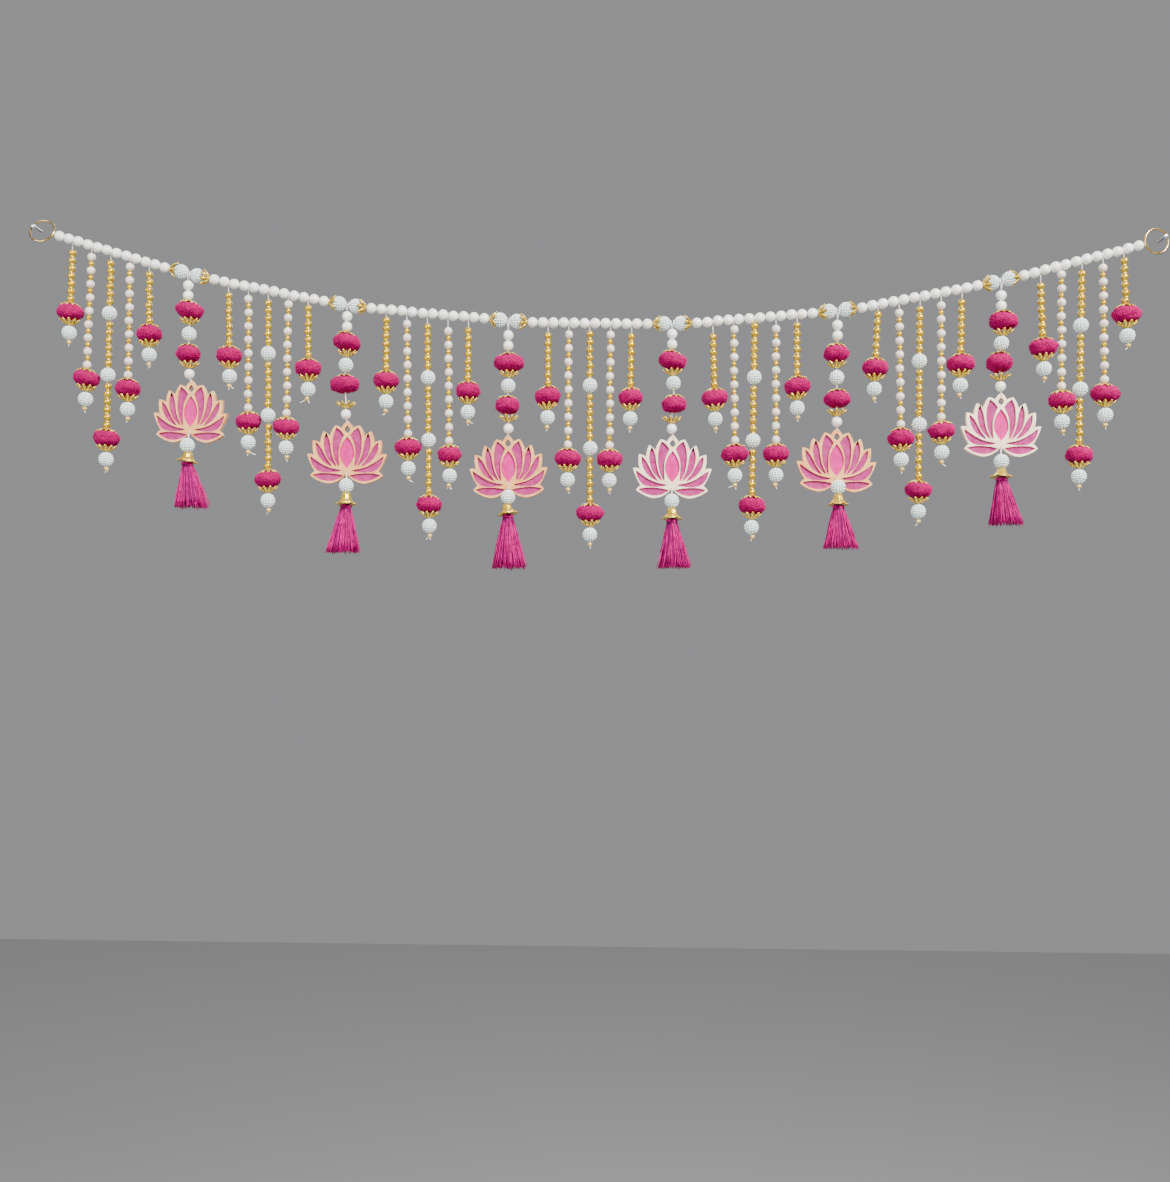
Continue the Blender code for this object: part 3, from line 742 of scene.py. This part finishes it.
# The lotus's right half, as in the solids: the tip of each petal and the valley below it
TIPS = ((0.0, LOTUS_TOP), (9.1, 34.4), (17.8, 30.0), (25.6, 22.9), (29.8, 12.2), (27.1, -4.5))
VALLEYS = ((4.4, 32.6), (13.0, 25.9), (20.0, 20.9), (24.8, 11.8), (23.8, -1.0))
LOW_CURVE = ((27.1, -4.5), (13.8, -10.5), (5.0, -7.6), (0.0, -3.0))

# Its windows, one row for each petal, as sides between sharp corners
WINDOWS = (
    (
        ((8.0, 32.0), (9.7, 27.5), (10.4, 21.5), (10.1, 14.5), (8.7, 8.5), (6.2, 3.2)),
        ((6.2, 3.2), (6.6, 9.0), (6.7, 14.5), (5.7, 20.5), (3.0, 26.8)),
        ((3.0, 26.8), (5.2, 29.8), (8.0, 32.0)),
    ),
    (
        ((15.7, 27.6), (17.0, 22.5), (16.6, 16.5), (14.2, 9.5), (8.2, 3.2)),
        ((8.2, 3.2), (11.2, 9.8), (12.6, 15.8), (13.6, 21.8), (15.7, 27.6)),
    ),
    (
        ((23.0, 20.4), (22.4, 15.0), (19.8, 9.6), (16.2, 5.9), (11.4, 3.0)),
        ((11.4, 3.0), (15.2, 8.0), (17.8, 12.8), (20.4, 17.4), (23.0, 20.4)),
    ),
    (
        ((26.9, 9.5), (25.5, 4.8), (22.6, 0.9), (18.8, -1.0), (13.0, -1.5), (4.5, -0.6)),
        ((4.5, -0.6), (11.0, 0.6), (17.2, 3.0), (22.6, 6.4), (26.9, 9.5)),
    ),
    (
        ((24.5, -4.1), (19.5, -6.9), (13.4, -8.1), (8.0, -7.2), (3.2, -4.6)),
        ((3.2, -4.6), (8.5, -3.6), (14.0, -3.1), (19.5, -3.2), (24.5, -4.1)),
    ),
)
HEART_SIDE = ((0.0, 24.8), (2.8, 20.9), (4.5, 16.2), (4.9, 11.6), (3.4, 6.8), (0.0, 2.2))
HOLE_SIDE = ((0.0, 34.4), (1.6, 32.7), (2.2, 31.2), (1.5, 29.6), (0.0, 28.5))

WINDOW_SPREAD = 0.62
PLATE_INSET = 0.5


def smooth(points, steps=4):
    """A curve through all the points (Catmull-Rom), without its last point."""
    points = np.array(points, float)
    ahead = np.concatenate([points[1:], [2 * points[-1] - points[-2]]])
    behind = np.concatenate([[2 * points[0] - points[1]], points[:-1]])
    slopes = (ahead - behind) / 2.0
    rows = []
    for k in range(len(points) - 1):
        a, b = points[k], points[k + 1]
        for t in np.arange(steps) / steps:
            rows.append(
                (2 * t**3 - 3 * t**2 + 1) * a
                + (t**3 - 2 * t**2 + t) * slopes[k]
                + (3 * t**2 - 2 * t**3) * b
                + (t**3 - t**2) * slopes[k + 1]
            )
    return np.array(rows)


def lotus_half():
    """The outline of the right half from the top tip to the notch."""
    points = []
    for k in range(5):
        points.append(arc(TIPS[k], VALLEYS[k], 0.3 if k == 0 else 0.55)[:-1])
        points.append(arc(VALLEYS[k], TIPS[k + 1], 0.35)[:-1])
    points.append(arc(LOW_CURVE[0], LOW_CURVE[1], 1.0, 9)[:-1])
    points.append(arc(LOW_CURVE[1], LOW_CURVE[2], 0.7)[:-1])
    points.append(arc(LOW_CURVE[2], LOW_CURVE[3], 0.3, 4)[:-1])
    return np.concatenate(points)


def mirror(points):
    return np.stack([-points[:, 0], points[:, 1]], 1)


def inset(points, distance):
    """Move each point of a closed clockwise outline inwards."""
    ahead = np.roll(points, -1, 0) - points
    behind = points - np.roll(points, 1, 0)
    ahead /= np.linalg.norm(ahead, axis=1)[:, None]
    behind /= np.linalg.norm(behind, axis=1)[:, None]
    both = ahead + behind
    both /= np.maximum(np.linalg.norm(both, axis=1), 0.25)[:, None]
    inward = np.stack([both[:, 1], -both[:, 0]], 1)
    spread = np.sum(inward * np.stack([ahead[:, 1], -ahead[:, 0]], 1), 1)
    return points + inward * (distance / np.maximum(spread, 0.5))[:, None]


def slab(loops, front, back):
    """A flat plate from closed loops of (x, z): first the outline, then the holes."""
    flat = [Vector((x, z, 0.0)) for loop in loops for x, z in loop]
    parts = tessellate_polygon([[Vector((x, z, 0.0)) for x, z in loop] for loop in loops])
    count = len(flat)
    plane = np.array([[v.x, 0.0, v.y] for v in flat])
    corners = np.concatenate([plane + [0.0, front, 0.0], plane + [0.0, back, 0.0]])
    parts = np.array(parts)
    walls = []
    start = 0
    for loop in loops:
        n = np.arange(len(loop))
        far = (n + 1) % len(loop)
        walls.append(np.stack([start + n, start + far, count + start + far, count + start + n], 1))
        start += len(loop)
    return corners, [parts, parts[:, ::-1] + count, np.concatenate(walls)]


def lotus_parts():
    """The lotus at its root: the cream frame and back, the pink petals and the brighter heart."""
    half = lotus_half()
    outline = np.concatenate([half, [LOW_CURVE[-1]], mirror(half)[:0:-1]])
    hole = np.concatenate([smooth(HOLE_SIDE), mirror(smooth(HOLE_SIDE[::-1]))])
    heart = np.concatenate([smooth(HEART_SIDE), mirror(smooth(HEART_SIDE[::-1]))])
    heart = inset(heart, -WINDOW_SPREAD)
    windows = [heart, hole]
    for sides in WINDOWS:
        loop = inset(np.concatenate([smooth(side) for side in sides]), -WINDOW_SPREAD)
        windows += [loop, mirror(loop)[::-1]]
    rim = slab([outline] + windows, LOTUS_FRONT_Y, LOTUS_MIDDLE_Y)
    board = slab([outline, hole], LOTUS_MIDDLE_Y, LOTUS_BACK_Y)
    petals = slab([inset(outline, PLATE_INSET), hole], LOTUS_FLOOR_Y, LOTUS_MIDDLE_Y + 0.1)
    bright = slab([heart], LOTUS_FLOOR_Y - 0.12, LOTUS_FLOOR_Y + 0.1)
    return merged([rim, board]), petals, bright


# Pendants whose frames take the paler copy of the frame colour: painted light, not a different
# frame.
LIT_LOTUSES = (3, 5)


def make_lotus(k, parts):
    row = column_of(k)
    joint = joint_middle(k)
    angle = math.radians(row["lotus_turn"])
    turn = np.array(
        [
            [math.cos(angle), 0.0, -math.sin(angle)],
            [0.0, 1.0, 0.0],
            [math.sin(angle), 0.0, math.cos(angle)],
        ]
    )
    root = np.array([joint[0] + row["lotus_x"], 0.0, joint[2] - row["lotus_root"]])
    name = f"pendant_{k + 1}_lotus"
    width = np.array([row["lotus_width"], 1.0, 1.0])
    frame_shape, petals, heart = [
        ((points * width) @ turn + root, faces) for points, faces in parts
    ]
    rim = Piece(f"{name}_frame")
    # The pale frame colour here is painted light on the same frame.
    rim.add(frame_shape, "lotus_rim_lit" if k in LIT_LOTUSES else "lotus_rim", smooth=False)
    rim.make([name])
    pink = Piece(f"{name}_petals")
    pink.add(petals, "lotus_pink", smooth=False)
    pink.add(heart, "lotus_heart", smooth=False)
    pink.make([name])


SILK_BOW = 0.88
SILK_DEEP = 0.82
SILK_THREADS = 360


def make_tassel(k):
    name = f"pendant_{k + 1}_tassel"
    row = column_of(k)
    joint = joint_middle(k)
    rng = np.random.default_rng(900 + k)
    x = joint[0] + row["foot_ball_x"]
    top_z = joint[2] - row["disc"] - 0.6
    end_x = joint[0] + row["silk_end_x"]
    end_z = joint[2] - row["silk_end"]
    tilt = math.radians(row["disc_tilt"])
    level = (-math.sin(tilt), 0.0, math.cos(tilt))
    foot = Piece(f"{name}_ball")
    ball_spot = np.array([x, TASSEL_Y, joint[2] - row["foot_ball"]])
    foot.add(moved(SEED_BALL, ball_spot, (0.0, 0.0, 1.0), rng.uniform(0.0, 3.0)), "seed")
    knot_z = joint[2] - min(row["foot_ball"] - 7.5, row["lotus_root"] + 2.0)
    knot = np.array([joint[0] + row["lotus_x"], LOTUS_FRONT_Y - 0.8, knot_z])
    foot.add(tube([knot, ball_spot + [0.0, 1.5, BALL_R - 1.0], ball_spot], 0.5, 6), "thread")
    foot.make([name])
    cup = Piece(f"{name}_cup")
    gap = row["disc"] - row["foot_ball"] - BALL_R + 0.6
    bell = [
        (1.4, gap),
        (2.6, gap - 0.2),
        (3.4, gap * 0.75),
        (3.9, gap * 0.45),
        (5.0, gap * 0.2),
        (6.6, 0.35),
        (6.4, -0.1),
        (3.2, -0.2),
        (0.3, -0.2),
    ]

    def flutes(angles, step, reach, rise):
        depth = 0.05 if 0 < step < 6 else 0.0
        return reach * (1.0 + depth * np.cos(angles * 8.0)), rise

    cup_spot = np.array([x, TASSEL_Y, joint[2] - row["disc"] + 0.2])
    cup.add(moved(lathe(bell, 48, flutes), cup_spot, level), "cap_gold")
    cup.add(moved(flower_disc(9.2), cup_spot, level, rng.uniform(0.0, 1.2)), "cap_gold")
    cup.make([name])
    silk = Piece(f"{name}_silk")
    steps = 9
    t = np.linspace(0.0, 1.0, steps)
    start = np.array([x, TASSEL_Y, top_z])
    finish = np.array([end_x, TASSEL_Y, end_z])
    profile = []
    for step in range(9):
        part = step / 8.0
        profile.append((3.2 + 7.6 * part**SILK_BOW, part))
    core, faces = lathe(profile + [(0.2, 1.0)], 28)
    level_of = core[:, 2:3]
    heart = start + (finish + [0.0, 0.0, 3.0] - start) * level_of
    heart[:, 0] += core[:, 0]
    heart[:, 1] += core[:, 1] * SILK_DEEP
    # The dark core inside the threads is painted shade.
    silk.add((heart, faces), "silk_shade_core")
    for thread in range(SILK_THREADS):
        turn = rng.uniform(0.0, 2.0 * math.pi)
        depth = math.sqrt(rng.uniform(0.4, 1.0))
        root_r = 2.6 * depth
        stray = 1.8 if thread % 45 == 7 else 0.0
        tip_r = (12.6 + rng.normal() * 0.5 + stray) * depth
        lift = rng.normal() * 0.8 + (1.0 - depth) * 2.0
        sway = rng.normal(size=2) * 0.5
        curve = root_r + (tip_r - root_r) * t**SILK_BOW
        wave = np.sin(t * math.pi * rng.uniform(1.0, 2.2)) * rng.normal() * 0.35
        way = turn + wave / 9.0
        points = start + (finish + [0.0, 0.0, lift] - start) * t[:, None]
        points[:, 0] += (curve + wave) * np.cos(way) + sway[0] * t**2
        points[:, 1] += ((curve + wave) * np.sin(way) + sway[1] * t**2) * SILK_DEEP
        silk.add(tube(points, np.linspace(0.34, 0.22, steps), 3), "silk")
    wrap = []
    for step in range(33):
        turn = step / 32.0 * 2.0 * math.pi * 3.0
        wrap.append(start + [4.2 * math.cos(turn), 3.9 * math.sin(turn), -0.6 - step * 0.06])
    silk.add(tube(wrap, 0.35, 5), "silk")
    silk.make([name])


def flower_disc(radius):
    """A thin, slightly dished flower of five petals."""
    steps = 6
    rows = [(0.8 + (radius - 0.8) * k / (steps - 1), 0.0) for k in range(steps)]
    outline = rows + [(reach, -0.45) for reach, _ in reversed(rows)]

    def wave(angles, step, reach, rise):
        level = step if step < steps else 2 * steps - 1 - step
        t = level / (steps - 1)
        lobe = np.abs(np.cos(angles * 2.5)) ** 0.6
        return reach * (1.0 - 0.3 * t**2 * (1.0 - lobe)), rise - 1.1 * t**2 * lobe + 0.5 * t

    return lathe(outline, 50, wave)


# Rings and nails


def make_ring(side):
    nail = NAILS[side]
    offset = RING_OFFSETS[side]
    lean, yaw = (math.radians(value) for value in RING_LEANS[side])
    centre = np.array([nail[0] + offset[0], BEAD_Y, nail[1] + offset[1]])
    turns = np.linspace(0.0, 2.0 * np.pi, 73)[:-1]
    wire = RING_WIRE_R
    sides = 12
    angles = np.arange(sides) * 2.0 * np.pi / sides
    reach = RING_RADII[side] + wire * np.cos(angles)[None, :]
    x = reach * np.cos(turns)[:, None]
    z = reach * np.sin(turns)[:, None]
    y = np.broadcast_to(wire * np.sin(angles)[None, :], x.shape)
    out = y * math.cos(lean) + z * math.sin(lean)
    up = z * math.cos(lean) - y * math.sin(lean)
    tilted = np.stack([x, out, up], -1)
    spun = tilted.copy()
    spun[..., 0] = tilted[..., 0] * math.cos(yaw) - tilted[..., 1] * math.sin(yaw)
    spun[..., 1] = tilted[..., 0] * math.sin(yaw) + tilted[..., 1] * math.cos(yaw)
    corners = spun.reshape(-1, 3) + centre
    near = np.arange(sides)
    far = (near + 1) % sides
    quads = []
    for step in range(len(turns)):
        base = step * sides
        ahead = ((step + 1) % len(turns)) * sides
        quads.append(np.stack([base + near, base + far, ahead + far, ahead + near], 1))
    piece = Piece(f"ring_{side}_wire")
    piece.add((corners, [np.concatenate(quads)]), "ring_gold")
    piece.make([f"ring_{side}"])


def make_nail(side):
    x, z = NAILS[side]
    profile = [
        (0.02, 0.0),
        (1.0, 0.0),
        (1.0, 12.4),
        (1.7, 12.6),
        (1.95, 12.9),
        (1.9, 13.3),
        (1.4, 13.7),
        (0.6, 13.9),
        (0.02, 13.9),
    ]
    shank = moved(lathe(profile, 24), (x, 0.0, z), (0.0, -1.0, 0.0))
    piece = Piece(f"nail_{side}_pin")
    piece.add(shank, "steel")
    piece.make([f"nail_{side}"])


# Camera, floor and light
VIEW_AZIMUTH = 2.29
VIEW_ELEVATION = -2.46
VIEW_ROLL = 0.14
VIEW_TARGET = (432.1, BEAD_Y, -285.2)
VIEW_DISTANCE = 0.8867
FRAME_WIDTH = 1170.0
FRAME_HEIGHT = 1182.0
SENSOR = 36.0
FLOOR_REACH = 6.0
FLOOR_LEVEL = -2.1
LIGHT_AIM = (0.43, 0.0, -0.15)
LIGHTS = (
    ("key", (1.5, -1.6, 1.1), 0.9, 150.0, (1.0, 0.98, 0.95)),
    ("fill", (-0.9, -1.8, 0.2), 1.4, 42.0, (0.95, 0.97, 1.0)),
    ("rim", (0.2, 1.6, 1.0), 1.2, 14.0, (1.0, 1.0, 1.0)),
)


def make_camera():
    """Level, close in front of the hanging and slightly low."""
    azimuth = math.radians(VIEW_AZIMUTH)
    elevation = math.radians(VIEW_ELEVATION)
    roll = math.radians(VIEW_ROLL)
    target = Vector(VIEW_TARGET) * MM
    back = Vector(
        (
            math.sin(azimuth) * math.cos(elevation),
            -math.cos(azimuth) * math.cos(elevation),
            math.sin(elevation),
        )
    )
    right = Vector((0.0, 0.0, 1.0)).cross(back).normalized()
    up = back.cross(right)
    turned_right = right * math.cos(roll) + up * math.sin(roll)
    turned_up = up * math.cos(roll) - right * math.sin(roll)
    camera = bpy.data.cameras.new("camera")
    camera.sensor_width = SENSOR
    camera.lens = SENSOR * FRAME_WIDTH / FRAME_HEIGHT
    camera.clip_start = 0.01
    holder = bpy.data.objects.new("camera", camera)
    bpy.context.scene.collection.objects.link(holder)
    facing = Matrix((turned_right, turned_up, back)).transposed().to_4x4()
    holder.matrix_world = Matrix.Translation(target + back * VIEW_DISTANCE) @ facing
    bpy.context.scene.camera = holder


def make_light(name, spot, size, power, colour):
    light = bpy.data.lights.new(name, "AREA")
    light.shape = "DISK"
    light.size = size
    light.energy = power
    light.color = colour
    holder = bpy.data.objects.new(name, light)
    bpy.context.scene.collection.objects.link(holder)
    holder.location = spot
    way = Vector(LIGHT_AIM) - Vector(spot)
    holder.rotation_euler = way.to_track_quat("-Z", "Y").to_euler()


def make_stage():
    mesh = bpy.data.meshes.new("floor")
    corners = ((-1, -1), (1, -1), (1, 1), (-1, 1))
    points = [(x * FLOOR_REACH, y * FLOOR_REACH, FLOOR_LEVEL) for x, y in corners]
    mesh.from_pydata(points, [], [(0, 1, 2, 3)])
    floor = bpy.data.objects.new("floor", mesh)
    bpy.context.scene.collection.objects.link(floor)
    grey = bpy.data.materials.new("floor")
    grey.use_nodes = True
    shader = grey.node_tree.nodes["Principled BSDF"]
    shader.inputs["Base Color"].default_value = (0.6, 0.6, 0.6, 1.0)
    shader.inputs["Roughness"].default_value = 0.9
    mesh.materials.append(grey)
    world = bpy.data.worlds.new("studio")
    world.use_nodes = True
    sky = world.node_tree.nodes["Background"]
    sky.inputs["Color"].default_value = (0.3, 0.3, 0.31, 1.0)
    sky.inputs["Strength"].default_value = 1.0
    bpy.context.scene.world = world
    for light in LIGHTS:
        make_light(*light)


def build():
    make_garland()
    for k, run in enumerate(RUNS):
        for s, kind in enumerate(STRAND_KINDS):
            make_strand(k, s, run, kind)
    parts = lotus_parts()
    for k in range(PENDANT_COUNT):
        make_chain(k)
        make_lotus(k, parts)
        make_tassel(k)
    for side in NAILS:
        make_ring(side)
        make_nail(side)
    make_camera()
    make_stage()


build()
